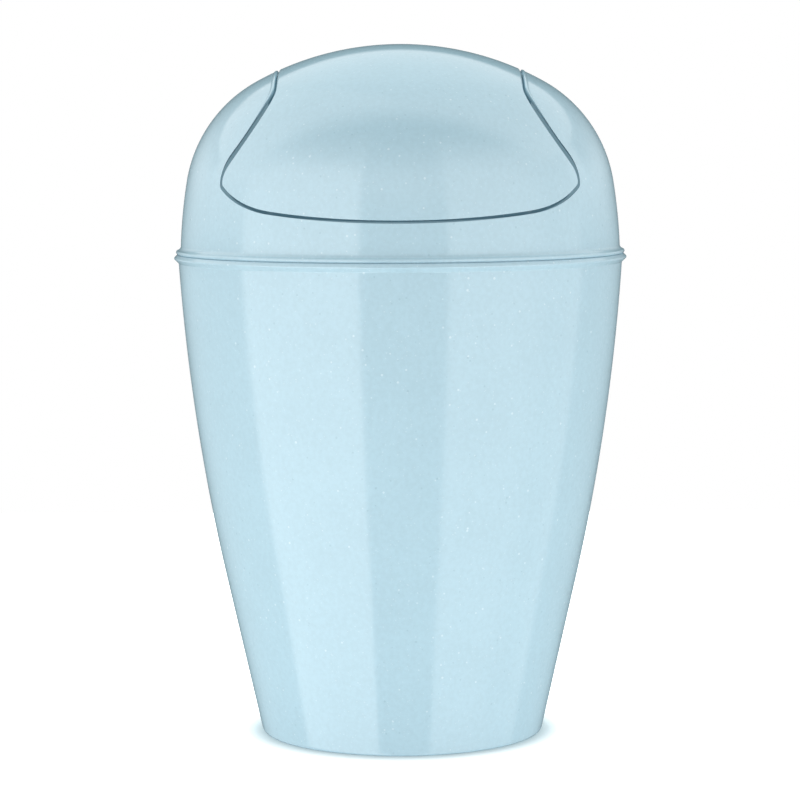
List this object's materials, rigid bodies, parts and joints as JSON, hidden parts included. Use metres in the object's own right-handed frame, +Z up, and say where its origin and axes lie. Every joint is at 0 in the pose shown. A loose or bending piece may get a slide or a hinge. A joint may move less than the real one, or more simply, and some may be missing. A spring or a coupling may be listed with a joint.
{
  "type": "swing lid trash can",
  "caption": "Round tapered kitchen bin with a lift-off domed lid and a flush see-saw flap that swings both ways on hidden pivot pins.",
  "frame": {"origin": "centre of the foot ring's resting plane", "axes": "+Z up, front towards -Y, flap pivots about X"},
  "size_m": [0.2454, 0.2454, 0.3745],
  "materials": {
    "speckled_plastic": "glossy pale blue moulding with fine white and grey flecks",
    "pivot_plastic": "plain pale grey low-friction plastic"
  },
  "bodies": {
    "bin": {"bin_body": "speckled_plastic"},
    "lid": {"lid_dome": "speckled_plastic"},
    "flap": {"swing_flap": "speckled_plastic", "pivot_pin_left": "pivot_plastic", "pivot_pin_right": "pivot_plastic"}
  },
  "joints": [
    {"name": "lid_lift", "type": "slide", "parent": "bin", "child": "lid", "axis": [0, 0, 1], "range_m": [0, 0.15]},
    {"name": "flap_swing", "type": "hinge", "parent": "lid", "child": "flap", "pos_m": [0, 0, 0.3484], "axis": [1, 0, 0], "range_deg": [-75, 75]}
  ]
}
